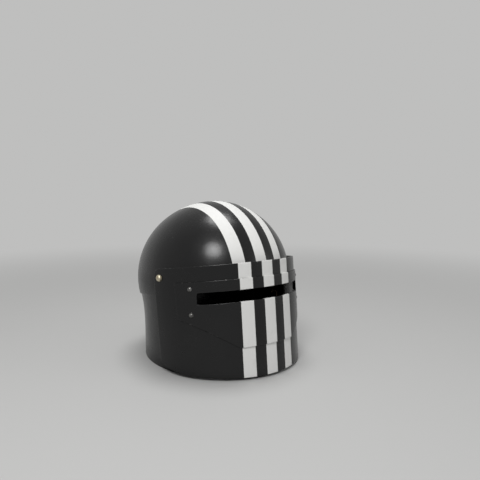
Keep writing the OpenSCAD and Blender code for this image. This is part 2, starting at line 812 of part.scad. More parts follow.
module sight_rivets() {
  grip = 2 * plate + lap_gap + rivet_fit;
  color(steel_bare) skull_frame() sight_rivet_places() {
    translate([0, 0, plate + lap_gap + rivet_fit]) cap(head_d, head_h);
    translate([0, 0, -plate - rivet_fit]) cylinder(d = shank_d, h = grip + rivet_fit);
    translate([0, 0, -plate - rivet_fit]) mirror([0, 0, 1]) cap(button_d, button_h);
  }
}

skull_dome();
back_plate();
chin_plate();
skull_rivets();
side_rivets();
pivot_sleeves();
liner_band();
liner_tongues();
crown_lace();
liner_rivets();
brow_pad();
nape_pad();
side_pad_left();
side_pad_right();
strap_long();
strap_short();
strap_rivets();
strap_washers();
strap_keeper();
buckle_frame();
buckle_tongue();
visor_plate();
sight_plate();
sight_rivets();
pivot_bolts();
taper_washers();
pivot_washers();
pivot_nuts();
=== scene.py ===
from math import acos, asin, atan2, cos, pi, radians, sin, sqrt, tan

import bmesh
import bpy
import numpy as np
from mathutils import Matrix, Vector, kdtree, noise


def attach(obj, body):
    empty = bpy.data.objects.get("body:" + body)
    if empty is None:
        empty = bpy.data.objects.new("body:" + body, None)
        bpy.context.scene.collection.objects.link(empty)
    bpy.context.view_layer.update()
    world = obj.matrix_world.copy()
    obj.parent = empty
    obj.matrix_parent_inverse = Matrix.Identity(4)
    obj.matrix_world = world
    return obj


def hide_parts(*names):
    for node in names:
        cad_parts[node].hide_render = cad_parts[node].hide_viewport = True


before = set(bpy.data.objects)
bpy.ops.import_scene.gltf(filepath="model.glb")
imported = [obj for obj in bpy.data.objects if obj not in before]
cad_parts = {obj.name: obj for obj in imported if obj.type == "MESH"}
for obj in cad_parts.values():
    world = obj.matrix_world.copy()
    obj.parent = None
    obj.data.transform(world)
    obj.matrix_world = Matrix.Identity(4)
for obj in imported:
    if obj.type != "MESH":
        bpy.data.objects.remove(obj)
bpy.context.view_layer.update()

# Camera, at the photograph's viewing angle: a little above the visor and about 37 degrees
# round from the front. It takes the photograph's square frame.


def placed(name, data):
    """A new object in the scene that carries this data."""
    thing = bpy.data.objects.new(name, data)
    bpy.context.scene.collection.objects.link(thing)
    return thing


camera = placed("camera", bpy.data.cameras.new("camera"))
camera.location = (-0.4495, -0.6618, 0.2612)
camera.rotation_euler = (radians(90 - 6.05), 0, radians(-37.02))
camera.data.sensor_width = 36
camera.data.lens = 38.6
bpy.context.scene.camera = camera

# Skull: one 2 mm steel plate raised to an egg that leans back over the rim. Its low edge steps
# up over the brow, behind the visor. It is sprayed with satin black enamel, and three white
# stripes are masked and sprayed over it from the brow to the nape. Sizes are in millimetres.
lean = radians(7.8)
axis_fore = 16.5
steel = 2.0
skull_side, skull_front, skull_rear, skull_rise = 112.5, 121.0, 142.0, 116.0
skull_level, skull_low = 122.4, 104.5
brow_low, brow_step, brow_round = 115.0, 74.0, 8.0
skull_rows, column_step, edge_round = 84, radians(1.5), 0.0006
stripe_edges = (9.15, 25.8, 43.2)
stripe_soft, stripe_waver = 0.0002, 0.0004


class Socket:
    """A node's output. An expression on sockets and numbers adds its Math nodes."""

    def __init__(self, nodes, out):
        self.nodes, self.out = nodes, out

    def math(self, operation, a, b=0.0):
        return self.nodes.node("ShaderNodeMath", {"operation": operation}, {0: a, 1: b})

    def __add__(self, other):
        return self.math("ADD", self, other)

    def __sub__(self, other):
        return self.math("SUBTRACT", self, other)

    def __rsub__(self, other):
        return self.math("SUBTRACT", other, self)

    def __mul__(self, other):
        return self.math("MULTIPLY", self, other)

    def __abs__(self):
        return self.math("ABSOLUTE", self)

    __radd__ = __add__
    __rmul__ = __mul__


class Nodes:
    """A tree of shader nodes. Each node is made by node() from its type, its settings and the
    values or links of its sockets."""

    def __init__(self, tree):
        self.tree = tree

    def fill(self, node, values):
        for key, value in values.items():
            if isinstance(value, Socket):
                self.tree.links.new(value.out, node.inputs[key])
            else:
                colour = node.inputs[key].type == "RGBA"
                node.inputs[key].default_value = (*value, 1) if colour else value

    def node(self, kind, settings, values, out=0):
        node = self.tree.nodes.new(kind)
        for key, value in settings.items():
            setattr(node, key, value)
        self.fill(node, values)
        return Socket(self, node.outputs[out])


class Finish(Nodes):
    """A surface finish: one material, built round its Principled shader."""

    def __init__(self, name, constants):
        self.material = bpy.data.materials.new(name)
        self.material.use_nodes = True
        super().__init__(self.material.node_tree)
        self.shader = self.tree.nodes["Principled BSDF"]
        self.fill(self.shader, constants)

    def spot(self):
        """The surface's points, in metres."""
        return self.node("ShaderNodeTexCoord", {}, {}, "Object")

    def drawn(self, lines, turn=(0, 0, 0)):
        """The same points turned and drawn out, for marks that run along one way."""
        return self.node("ShaderNodeMapping", {},
                         {"Vector": self.spot(), "Rotation": turn, "Scale": lines})

    def grain(self, scale, detail=2.0, rough=0.5, at=None):
        """Soft noise from 0 to 1, finer where the scale is higher."""
        return self.node("ShaderNodeTexNoise", {}, {"Vector": at or self.spot(), "Scale": scale,
                                                    "Detail": detail, "Roughness": rough})

    def step(self, value, low, high):
        """0 up to low and 1 from high on, with a smooth rise between."""
        return self.node("ShaderNodeMapRange", {"interpolation_type": "SMOOTHSTEP"},
                         {"Value": value, "From Min": low, "From Max": high})

    def mix(self, share, a, b):
        """Colour a where the share is 0, and colour b where it is 1."""
        return self.node("ShaderNodeMix", {"data_type": "RGBA"}, {0: share, 6: a, 7: b}, 2)

    def bump(self, height, distance, strength=1.0, after=None):
        values = {"Height": height, "Distance": distance, "Strength": strength}
        if after:
            values["Normal"] = after
        return self.node("ShaderNodeBump", {}, values)

    def attribute(self, name):
        """A number that the mesh keeps at its points."""
        return self.node("ShaderNodeAttribute", {"attribute_name": name}, {}, "Fac")


def enamel(name, striped, edged=True):
    """Sprayed enamel. Here and there it is rubbed through to the steel along an edge. On
    pieces without edges of their own, such as rivets, the stripes stay on the outer ends."""
    finish = Finish(name, {"Specular IOR Level": 0.36})
    black, black_dusty, scuffed = (0.0035, 0.0035, 0.0038), (0.0075, 0.0075, 0.0077), (0.05,) * 3
    white, white_soiled, worn_steel = (0.78, 0.78, 0.765), (0.55, 0.545, 0.52), (0.2, 0.195, 0.19)
    cloud = finish.grain(26, 3)
    rub = finish.grain(90, 4, 0.6)
    strokes = finish.grain(900, 2, 0.5, finish.drawn((1, 0.05, 1), (0.5, 0.3, 0.4)))
    scuffs = finish.step(strokes, 0.63, 0.72) * finish.step(cloud, 0.48, 0.62)
    colour = finish.mix(0.4 * scuffs, finish.mix(cloud, black, black_dusty), scuffed)
    paint_step = worn = 0.0
    if striped:
        across = finish.node("ShaderNodeSeparateXYZ", {}, {0: finish.spot()})
        away = abs(across + (finish.grain(300, 1) - 0.5) * stripe_waver)
        middle, inner, outer = [
            finish.step(away, edge / 1000 - stripe_soft, edge / 1000 + stripe_soft)
            for edge in stripe_edges]
        paint_step = 1 - middle + inner * (1 - outer)
        if not edged:
            way = finish.node("ShaderNodeTexCoord", {}, {}, "Normal")
            outwards = finish.node("ShaderNodeVectorMath", {"operation": "DOT_PRODUCT"},
                                   {0: way, 1: finish.spot()}, "Value")
            paint_step = paint_step * finish.step(outwards, 0.0, 0.02)
        soiled = finish.step(finish.grain(60, 5, 0.65), 0.56, 0.85) * 0.4
        colour = finish.mix(paint_step, colour, finish.mix(soiled, white, white_soiled))
    if edged:
        bare = finish.step(finish.grain(150, 3, 0.6), 0.53, 0.62)
        worn = bare * (1 - finish.step(finish.attribute("edge"), 0.0001, 0.0004))
        colour = finish.mix(worn, colour, worn_steel)
    peel = finish.bump(finish.grain(700, 2) - 0.5 * scuffs, 0.00005, 0.6)
    dents = finish.bump(finish.grain(34, 2), 0.001, 0.36, peel)
    layers = finish.bump(paint_step - worn, 0.00012, 0.8, dents) if striped or edged else dents
    finish.fill(finish.shader, {
        "Base Color": colour,
        "Roughness": 0.21 + 0.1 * rub + 0.1 * scuffs + 0.32 * paint_step,
        "Metallic": 0.9 * worn,
        "Normal": layers,
    })
    return finish.material


enamel_plain = enamel("enamel_plain", False)
painted = (enamel("enamel_striped", True), enamel_plain)


def grid_cells(rows, cols, ring=False):
    """Cells of a grid of points by their corners. A ring's last column meets its first."""
    at = np.arange(rows * cols).reshape(rows, cols)
    right = np.roll(at, -1, 1) if ring else at[:, 1:]
    left = at if ring else at[:, :-1]
    return np.stack([left[:-1], right[:-1], right[1:], left[1:]], -1)


def note(mesh, name, domain, values):
    """A number kept at each point or face of a mesh, for its finish to read."""
    kept = mesh.attributes.new(name, "FLOAT", domain)
    kept.data.foreach_set("value", np.asarray(values, np.float32))


def made(name, points, faces, finishes, *notes):
    """A piece from its points and faces: doubles merged, faces turned outwards and all but its
    end caps smooth. Faces noted as inside take the second finish, where there is one."""
    mesh = bpy.data.meshes.new(name)
    mesh.from_pydata(points.tolist(), [], faces)
    for fact in notes:
        note(mesh, *fact)
    bm = bmesh.new()
    bm.from_mesh(mesh)
    bmesh.ops.remove_doubles(bm, verts=bm.verts, dist=1e-6)
    bmesh.ops.delete(bm, geom=[v for v in bm.verts if not v.link_faces], context="VERTS")
    bmesh.ops.recalc_face_normals(bm, faces=bm.faces)
    inside = bm.faces.layers.float.get("inside") if len(finishes) > 1 else None
    for face in bm.faces:
        face.smooth = len(face.verts) < 5
        face.material_index = int(face[inside] > 0.5) if inside else 0
    bm.to_mesh(mesh)
    bm.free()
    for finish in finishes:
        mesh.materials.append(finish)
    return placed(name, mesh)


def plate(name, outer, inner, rounding, finishes, cells=None, ring=False):
    """A sheet between two skins of points in metres, its edges closed and, but for 0, rounded.
    It carries each point's distance from the nearest edge, for what shows along edges."""
    if cells is None:
        cells = grid_cells(*outer.shape[:2], ring)
    outer, inner, cells = outer.reshape(-1, 3), inner.reshape(-1, 3), cells.reshape(-1, 4)
    count = len(outer)
    sides = np.concatenate([cells[:, [k, (k + 1) % 4]] for k in range(4)])
    known = set(map(tuple, sides.tolist()))
    rim = sorted((a, b) for a, b in known if (b, a) not in known)
    walls = [(b, a, a + count, b + count) for a, b in rim]
    faces = cells.tolist() + walls + (cells[:, ::-1] + count).tolist()
    points = np.concatenate([outer, inner])
    trail = [points[a + skin] * (1 - u) + points[b + skin] * u
             for a, b in rim for skin in (0, count) for u in (0, 0.25, 0.5, 0.75)]
    tree = kdtree.KDTree(len(trail))
    for k, p in enumerate(trail):
        tree.insert(p, k)
    tree.balance()
    piece = made(name, points, faces, finishes,
                 ("edge", "POINT", [tree.find(p)[2] for p in points]),
                 ("inside", "FACE", np.repeat([0, 1], [len(faces) - len(cells), len(cells)])))
    if rounding:
        bevel = piece.modifiers.new("rounded_edges", "BEVEL")
        bevel.width, bevel.segments = rounding, 3
        bevel.limit_method, bevel.angle_limit = "ANGLE", radians(50)
    return piece


def stands_for(piece, body, slot, *nodes):
    """The piece rides its body and replaces its CAD nodes, which are hidden. The slot is not used.
    """
    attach(piece, body)
    if nodes:
        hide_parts(*nodes)


def xyz(x, y, z):
    """Points from their coordinates, each a number or an array."""
    return np.stack(np.broadcast_arrays(x, y, z), -1)


def level(points):
    """Millimetres over the level rim, to metres in the part's frame."""
    return (np.asarray(points, float) + [0, -axis_fore, 0]) / 1000


def leaned(points):
    """Millimetres square to the skull's leaning axis, to metres in the part's frame."""
    x, y, z = np.moveaxis(np.asarray(points, float), -1, 0)
    return level(xyz(x, y * cos(lean) + z * sin(lean),
                     z * cos(lean) - y * sin(lean)))


def skull_depth(turn):
    """Half the egg's depth on the side of a turn. It is deeper to the rear."""
    return np.where(np.sin(turn) < 0, skull_front, skull_rear)


def skull_point(turn, z, off):
    """A point inside the egg's face by off, in the skull's leaning frame."""
    size = np.sqrt(np.maximum(1 - ((z - skull_level) / (skull_rise - off)) ** 2, 0))
    return xyz((skull_side - off) * size * np.cos(turn),
               (skull_depth(turn) - off) * size * np.sin(turn), z)


def skull_edge_level(turn, off):
    """Level of the low edge, which steps up over the brow with a round corner. A few rounds
    settle it, because the egg narrows as it falls."""
    low = np.full(len(turn), skull_low)
    for _ in range(4):
        y = skull_point(turn, low, off)[:, 1]
        run = np.clip(y + brow_step + brow_round, 0, brow_round)
        arc = brow_low - brow_round + np.sqrt(brow_round ** 2 - run ** 2)
        brow = np.where(y < -brow_step - brow_round, brow_low, arc)
        low = np.where(y < -brow_step, brow, skull_low)
    return low


# Columns of the skull's grid, closer together at the round corners of the brow's step.
corner_y = np.array([0, 0.01, 0.3, 1, 2, 3.5, 5.5, 8]) + brow_step
corner = np.arcsin(corner_y / (skull_front * 0.985))
turns = np.sort(np.concatenate([np.arange(0, 2 * pi - 0.001, column_step),
                                -corner % (2 * pi), pi + corner]))


def skull_grid(off):
    """Rows of points from the low edge to the crown, inside the egg's face by off."""
    start = np.arcsin((skull_edge_level(turns, off) - skull_level) / (skull_rise - off))
    rise = start + (pi / 2 - start) * np.linspace(0, 1, skull_rows)[:, None]
    return leaned(skull_point(turns, skull_level + (skull_rise - off) * np.sin(rise), off))


skull = plate("skull_shell", skull_grid(0), skull_grid(steel), edge_round, painted, ring=True)
stands_for(skull, "shell", "black_enamel", "skull_dome")

# Back plate: the neck, a steel plate bent round from cheek to cheek. It stands straight on the
# level rim, flares into the skull and laps up inside the skull's low edge, where it is riveted.
neck_side, neck_depth, neck_back, neck_straight, neck_lap = 107.5, 129.0, 9.5, 22.0, 11.0
neck_wrap, lap_gap = 28.0, 0.1
neck_columns, straight_rows, flare_rows, lap_rows = 170, 7, 33, 6


def upright(points):
    """Skull's own frame to millimetres over the level rim."""
    return leaned(points) * 1000 + [0, axis_fore, 0]


def neck_point(turn, z, off):
    """A point of the neck's upright oval, inside its outer face by off."""
    return xyz((neck_side - off) * np.cos(turn), neck_back + (neck_depth - off) * np.sin(turn), z)


def seat_point(turn, z, off):
    """A point of the lap that seats inside the skull."""
    return upright(skull_point(turn, z, steel + lap_gap + off))


def wall_point(turn, z, off):
    """A point on the back plate's wall at the height z, straight below and flared above."""
    foot = neck_point(turn, neck_straight, off)
    head = seat_point(turn, skull_low, off)
    reach = (head[..., 2] - neck_straight) / 3
    rise = seat_point(turn, skull_low + 1, off) - head
    low_pull = foot + xyz(0, 0, reach)
    high_pull = head - rise / rise[..., 2:] * reach[..., None]
    u = (z - neck_straight) / (head[..., 2] - neck_straight)
    v = np.clip(u, 0, 1)[..., None]
    flare = ((1 - v) ** 3 * foot + 3 * (1 - v) ** 2 * v * low_pull
             + 3 * (1 - v) * v * v * high_pull + v ** 3 * head)
    return np.where((u < 0)[..., None], neck_point(turn, z, off), flare)


def back_grid(off):
    """Rows of points from the rim up to the top of the lap."""
    turn = np.radians(np.linspace(-neck_wrap, 180 + neck_wrap, neck_columns))
    flare = seat_point(turn, skull_low, off)[:, 2] - neck_straight
    rows = [neck_point(turn, neck_straight * row / straight_rows, off)
            for row in range(straight_rows)]
    rows += [wall_point(turn, neck_straight + flare * row / flare_rows, off)
             for row in range(flare_rows)]
    rows += [seat_point(turn, z, off)
             for z in np.linspace(skull_low, skull_low + neck_lap, lap_rows)]
    return level(np.stack(rows))


back = plate("neck_plate", back_grid(0), back_grid(steel), edge_round, (enamel_plain,))
stands_for(back, "shell", "black_enamel", "back_plate")

# Chin plate: a low steel plate that closes the rim in front, behind the visor. It rises
# towards the ears, and its ends lap inside the back plate, where they are riveted.
chin_height, chin_ear, chin_lap = 38.0, 12.0, 9.0
chin_columns, chin_rows = 110, 16


def chin_grid(off):
    """Rows of points from the rim up, inside the back plate's wall."""
    wrap = neck_wrap - chin_lap
    turn = np.radians(np.linspace(180 + wrap, 360 - wrap, chin_columns))
    top = chin_height + chin_ear * np.cos(turn) ** 2
    return level(np.stack([wall_point(turn, top * up, steel + lap_gap + off)
                           for up in np.linspace(0, 1, chin_rows)]))


chin = plate("chin_guard", chin_grid(0), chin_grid(steel), edge_round, (enamel_plain,))
stands_for(chin, "shell", "black_enamel", "chin_plate")

# Flush rivets: soft steel, set through holes in the dome and the neck and through the leather
# band. Their outer ends are ground level with the plates, and paint and stripes go over them.
# Inside, each ends in a low round button.


def dress(finish, *nodes):
    """These CAD nodes keep their shape and take this finish."""
    for node in nodes:
        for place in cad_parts[node].material_slots:
            place.material = finish


dress(enamel("rivet_paint_striped", True, edged=False), "skull_rivets", "liner_rivets")
dress(enamel("rivet_paint_plain", False, edged=False), "side_rivets", "strap_rivets")

# Pivot sleeves: short collared tubes turned from mild steel and pressed into the temples.
# The bolts of the visor turn in them.


def metal(name, tone, dull, roughness, lines=(1, 1, 14)):
    """Bare metal with tool lines along one way, duller where it has been handled."""
    finish = Finish(name, {"Metallic": 1.0})
    patches = finish.grain(260, 4, 0.6)
    cuts = finish.grain(1100, 3, 0.6, finish.drawn(lines))
    finish.fill(finish.shader, {
        "Base Color": finish.mix(finish.step(patches, 0.35, 0.7), tone, dull),
        "Roughness": roughness - 0.1 + 0.3 * patches,
        "Normal": finish.bump(cuts, 0.00004, 0.4),
    })
    return finish.material


turned_steel = metal("turned_steel", (0.56, 0.55, 0.53), (0.3, 0.29, 0.27), 0.3)
dress(turned_steel, "pivot_sleeves")

# Lining band: a belt of waxed leather that runs round inside the dome, a little over the
# brow. Rivets hold it, and the tongues of the lining are sewn to it along its upper edge.
hide = 2.0
soft_gap = 0.3
band_low, band_high, band_columns, band_rows = 144.0, 164.0, 144, 9
band_seam, band_lift = 2.6, 0.25
band_face = steel + soft_gap + hide
leather_round = 0.0006


def leather(name, tone, shade, burnt):
    """Waxed leather: pores, creases, an uneven tone, and edges burnished dark."""
    finish = Finish(name, {"Specular IOR Level": 0.4})
    pores = finish.node("ShaderNodeTexVoronoi", {"feature": "DISTANCE_TO_EDGE"},
                        {"Vector": finish.spot(), "Scale": 820.0})
    creases = finish.grain(170, 5, 0.65)
    colour = finish.mix(finish.step(finish.grain(34, 4, 0.6), 0.3, 0.7), shade, tone)
    colour = finish.mix(0.55 * finish.step(creases, 0.52, 0.7), colour, burnt)
    burnished = 1 - finish.step(finish.attribute("edge"), 0.0004, 0.0015)
    finish.fill(finish.shader, {
        "Base Color": finish.mix(0.8 * burnished, colour, burnt),
        "Roughness": 0.46 + 0.24 * creases - 0.12 * burnished,
        "Normal": finish.bump(finish.step(pores, 0.0, 0.16), 0.00009, 0.7,
                              finish.bump(creases, 0.0005, 0.45)),
    })
    return finish.material


def thread(name, tone, dark):
    """Waxed linen thread with its plies shown as slanting ridges. The grooves between the plies
    are coloured darker: painted shade.
    """
    finish = Finish(name, {"Specular IOR Level": 0.3})
    plies = finish.node("ShaderNodeTexWave", {"bands_direction": "DIAGONAL"},
                        {"Vector": finish.spot(), "Scale": 420.0, "Distortion": 1.5})
    # The plies' grooves take the dark tone: painted shade.
    finish.fill(finish.shader, {"Base Color": finish.mix(plies, dark, tone),
                                "Roughness": 0.6 + 0.2 * plies,
                                "Normal": finish.bump(plies, 0.0001, 0.8)})
    return finish.material


lining_leather = leather("lining_leather", (0.27, 0.145, 0.072), (0.15, 0.075, 0.036),
                         (0.045, 0.022, 0.012))
sewing_thread = thread("sewing_thread", (0.62, 0.54, 0.4), (0.36, 0.29, 0.2))


def travelled(path):
    """Length travelled along a path at each of its points."""
    return np.concatenate([[0], np.cumsum(np.linalg.norm(np.diff(path, axis=0), axis=1))])


def reached(run, travel, path):
    """Where a path is once it has travelled a length."""
    return np.stack([np.interp(run, travel, line) for line in path.T], -1)


def sew(name, runs, length=3.6, gap=1.3, thick=0.42):
    """Stitches along runs of points on the shell's leather, in millimetres. Each run is its
    points and the way out of the surface."""
    stations, around = np.linspace(0, pi, 6)[:, None], np.arange(6) * pi / 3
    girth = np.sin(stations) ** 0.6 * thick
    stitch = xyz(-np.cos(stations) * length / 2, girth * np.cos(around),
                 girth * np.sin(around)).reshape(-1, 3) / 1000
    loops = grid_cells(len(stations), len(around), ring=True).reshape(-1, 4)
    points, faces = [], []
    pitch = (length + gap) / 1000
    for path, out in runs:
        travel = travelled(path)
        for at in np.arange(pitch / 2, travel[-1], pitch):
            place, face_out = reached(at, travel, path), reached(at, travel, out)
            way = reached(at + pitch / 4, travel, path) - reached(at - pitch / 4, travel, path)
            way /= np.linalg.norm(way)
            face_out -= way * (face_out @ way)
            face_out /= np.linalg.norm(face_out)
            faces.append(loops + len(points) * len(stitch))
            points.append(place + stitch @ np.stack([way, face_out, np.cross(way, face_out)]))
    piece = made(name, np.concatenate(points), np.concatenate(faces).tolist(), (sewing_thread,))
    stands_for(piece, "shell", "leather")


def rumple(points, scale, depth):
    """Slow unevenness of soft stuff, in millimetres, at points in millimetres."""
    wave = [noise.noise(Vector(p) / scale) for p in points.reshape(-1, 3)]
    return (np.array(wave) * depth).reshape(points.shape[:-1])


def skull_normal(turn, z):
    """The way out of the egg's face, in the skull's leaning frame."""
    x, y, z = np.moveaxis(skull_point(turn, z, 0), -1, 0)
    n = xyz(x / skull_side ** 2, y / skull_depth(turn) ** 2, (z - skull_level) / skull_rise ** 2)
    return n / np.linalg.norm(n, axis=-1, keepdims=True)


def turned_way(vectors):
    """Directions in the skull's leaning frame, in the part's frame."""
    return leaned(vectors) - leaned(np.zeros(3))


band_turn = np.linspace(0, 2 * pi, band_columns + 1)[:-1]
band_z = np.linspace(band_low, band_high, band_rows)[:, None]
ripple = np.abs(rumple(skull_point(band_turn, band_z, 4), scale=30, depth=0.5))
band = plate("lining_band", leaned(skull_point(band_turn, band_z, steel + soft_gap)),
             leaned(skull_point(band_turn, band_z, band_face + ripple)),
             leather_round, (lining_leather,), ring=True)
stands_for(band, "shell", "leather", "liner_band")
seam_turn = np.linspace(0, 2 * pi, 241)
band_runs = [(leaned(skull_point(seam_turn, z, band_face + band_lift)),
              turned_way(-skull_normal(seam_turn, z)))
             for z in (band_low + band_seam, band_high - band_seam)]
sew("lining_band_stitches", band_runs)

# Lining tongues: eight leather leaves that rise from the band and curve in under the crown,
# where the lace draws them together. They carry the helmet on the head, clear of the steel.
tongue_count, tongue_foot, tongue_tip, tongue_drop, tongue_ring = 8, 40.0, 7.0, 14.0, 16.0
tongue_lap, tongue_rows, tongue_columns = 6.0, 29, 17
tongue_seam, tongue_lift = 3.0, 0.35
tongue_off = steel + 3 * soft_gap + hide
foot_rise = asin((band_high - tongue_lap - skull_level) / (skull_rise - tongue_off))


def tongue_half(up):
    """Half of a tongue's width, which narrows as it rises."""
    return tongue_foot + (tongue_tip - tongue_foot) * up ** 0.9


def tongue_point(middle, across, up, off):
    """A point of the tongue that hangs at the turn middle, off from its outer face."""
    reach = 1 / np.hypot(np.cos(middle) / skull_side, np.sin(middle) / skull_depth(middle))
    top_rise = np.arccos(tongue_ring / (reach - tongue_off - tongue_drop))
    rise = foot_rise + up * (top_rise - foot_rise)
    hang = tongue_off + off + tongue_drop * up * up * (3 - 2 * up)
    turn = middle + across * tongue_half(up) / (reach * np.cos(rise))
    return xyz((skull_side - hang) * np.cos(rise) * np.cos(turn),
               (skull_depth(turn) - hang) * np.cos(rise) * np.sin(turn),
               skull_level + (skull_rise - hang) * np.sin(rise))


tongue_middles = (np.arange(tongue_count) * 2 * pi / tongue_count)[:, None, None]
tongue_up = np.linspace(0, 1, tongue_rows)[:, None]
tongue_grid = tongue_middles, np.linspace(-1, 1, tongue_columns), tongue_up
sag = np.abs(rumple(tongue_point(*tongue_grid, 0), scale=22, depth=0.6)) * (tongue_up > 0.02)
tongue_cells = [grid_cells(tongue_rows, tongue_columns) + k * sag[0].size
                for k in range(tongue_count)]
tongues = plate("lining_tongues", leaned(tongue_point(*tongue_grid, sag)),
                leaned(tongue_point(*tongue_grid, sag + hide)),
                leather_round, (lining_leather,), np.stack(tongue_cells))
stands_for(tongues, "shell", "leather", "liner_tongues")
seam_up = np.linspace(0.04, 0.97, 40)
seam_across = 1 - tongue_seam / tongue_half(seam_up)
seams = [tongue_point(middle, side * seam_across, seam_up, hide + tongue_lift)
         for middle in tongue_middles.ravel() for side in (-1, 1)]
tongue_runs = [(leaned(seam), turned_way([0, 0, skull_level] - seam)) for seam in seams]
sew("lining_tongue_stitches", tongue_runs, length=3.2, gap=1.4, thick=0.36)

# Crown lace: a laid cord of two waxed plies, drawn round under the tongues' tips and tied at
# the back, with two short ends.
lace_ring, lace_thick, lace_twists = 21.0, 3.0, 26
ply_off, ply_thick, knot_turns, knot_off, knot_long = 0.72, 0.8, 3, 1.75, 4.2
end_thick, end_knob, end_spread, end_drop, lace_sides = 0.75, 0.95, 9, 11, 8
end_start, end_inset, end_low = 2, 2, 1.2
lace_off = tongue_off + tongue_drop + hide + soft_gap
lace_rise = sqrt(1 - (lace_ring / (skull_side - lace_off)) ** 2)
lace_z = skull_level + (skull_rise - lace_off) * lace_rise - lace_thick / 2


def tube(path, radius, sides, closed):
    """Points and faces of a round tube along a path, in the path's units."""
    path = np.asarray(path, float)
    ahead = np.roll(path, -1, 0) - np.roll(path, 1, 0)
    if not closed:
        ahead[0], ahead[-1] = path[1] - path[0], path[-1] - path[-2]
    ahead /= np.linalg.norm(ahead, axis=1, keepdims=True)
    side = np.cross(ahead[0], [0.31, 0.17, 0.94])
    turn = np.arange(sides)[:, None] * 2 * pi / sides
    rings = []
    for p, t, r in zip(path, ahead, np.broadcast_to(radius, len(path))):
        side = side - t * (side @ t)
        side /= np.linalg.norm(side)
        rings.append(p + r * (np.cos(turn) * side + np.sin(turn) * np.cross(t, side)))
    points = np.concatenate(rings)
    last = len(points) - sides
    faces = grid_cells(len(path), sides, ring=True).reshape(-1, 4).tolist()
    if closed:
        shift = int(np.argmin(np.linalg.norm(points[:sides] - points[last], axis=1)))
        faces += [(last + k, last + (k + 1) % sides, (k + 1 + shift) % sides,
                   (k + shift) % sides) for k in range(sides)]
    else:
        faces += [tuple(range(sides))[::-1], tuple(range(last, len(points)))]
    return points, faces


def tubes(name, parts, finish):
    """One piece of several tubes, each a path in the skull's frame, a radius, a number of
    sides and whether it closes."""
    points, faces = [], []
    for part in parts:
        start = sum(map(len, points))
        some, more = tube(*part)
        points.append(some)
        faces += [tuple(k + start for k in face) for face in more]
    return made(name, leaned(np.concatenate(points)), faces, (finish,))


lace_cord = thread("lace_cord", (0.4, 0.27, 0.15), (0.2, 0.12, 0.06))
lace_turn = np.linspace(0, 2 * pi, 361)[:-1]
lace_parts = []
for ply in (0, pi):
    lay = lace_twists * lace_turn + ply
    reach = lace_ring + ply_off * np.cos(lay)
    lace_parts.append((xyz(reach * np.cos(lace_turn), reach * np.sin(lace_turn),
                           lace_z + ply_off * np.sin(lay)), ply_thick, lace_sides, True))
coil = np.linspace(0, knot_turns * 2 * pi, 61)
lace_parts.append((xyz((coil / coil[-1] - 0.5) * knot_long, lace_ring + knot_off * np.cos(coil),
                       lace_z + knot_off * np.sin(coil)), end_thick, lace_sides, False))
hang = np.linspace(0, 1, 14)
for side in (-1, 1):
    lace_parts.append((xyz(side * (end_start + end_spread * hang), lace_ring - end_inset * hang,
                           lace_z - end_low - end_drop * hang ** 2),
                       np.where(hang > 0.9, end_knob, end_thick), lace_sides, False))
lace = tubes("crown_lace_cord", lace_parts, lace_cord)
stands_for(lace, "shell", "leather", "crown_lace")

# Pads at the brow, the nape and both sides: felt and tow in a quilted linen cover, glued to
# the steel under the band. The cover is sewn through in upright channels, and the stuffing
# swells between them. A cord is sewn round the rim of each.
pad_low, pad_high, pad_thick, pad_hem = 119.0, 141.0, 12.0, 2.0
pad_middle, pad_back = (pad_low + pad_high) / 2, steel + soft_gap
pad_least, pad_unpuffed, most_puff, puff_steps = 1.2, 0.72, 0.0032, 20
pad_rows, column_gap, channel_gap = 17, 1.7, 13.0
piping_thick, piping_corner, piping_sides, piping_off = 0.95, 1.6, 10, 1.0
piping_step, piping_gap, turn_reach = 1.0, 0.4, 115
pads = {"brow_pad": (228, 312), "nape_pad": (60, 120), "side_pad_left": (2, 46),
        "side_pad_right": (134, 178)}


def linen(name, tone, shade, hollow_shade_tone):
    """Coarse linen: warp and weft as crossing ridges, uneven yarn, and painted shade that darkens
    the cover in its channels and along its rims.
    """
    finish = Finish(name, {"Specular IOR Level": 0.2, "Sheen Weight": 0.25,
                           "Sheen Roughness": 0.6})

    def yarns(way, pitch):
        turn = finish.attribute(way) * (2 * pi / pitch) + 2.2 * finish.grain(160, 2)
        return finish.node("ShaderNodeMath", {"operation": "SINE"}, {0: turn})

    weave = yarns("along", 0.00105) * yarns("upward", 0.00095)
    slub = finish.grain(520, 3, 0.6)
    # Painted shade: the cover darkens where it swells least, in the sewn channels and along the
    # rims.
    hollow_shade = 1 - finish.step(finish.attribute("swell"), 0.0, 0.55)
    colour = finish.mix(finish.step(finish.grain(45, 4, 0.6), 0.3, 0.7), shade, tone)
    colour = finish.mix(finish.step(weave, -0.2, 0.9) * 0.35, colour, shade)
    colour = finish.mix(0.6 * hollow_shade, colour, hollow_shade_tone)
    finish.fill(finish.shader, {
        "Base Color": finish.mix(0.3 * slub, colour, tone),
        "Roughness": 0.8 + 0.12 * slub,
        "Normal": finish.bump(weave, 0.0002, 0.7, finish.bump(slub, 0.0003, 0.5)),
    })
    return finish.material


def bend(middle, radius, start, end, count):
    """Points of an arc round a middle, from one turn to another in degrees."""
    turn = np.radians(np.linspace(start, end, count))
    return np.stack([middle[0] + radius * np.cos(turn), middle[1] + radius * np.sin(turn)], -1)


def round_corners(half_x, half_y, corner, grown=0.0):
    """The four corners of a rounded oblong, each as six points, anticlockwise."""
    return [bend((x * (half_x - corner), y * (half_y - corner)), corner + grown,
                 start, start + 90, 6)
            for x, y, start in ((1, 1, 0), (-1, 1, 90), (-1, -1, 180), (1, -1, 270))]


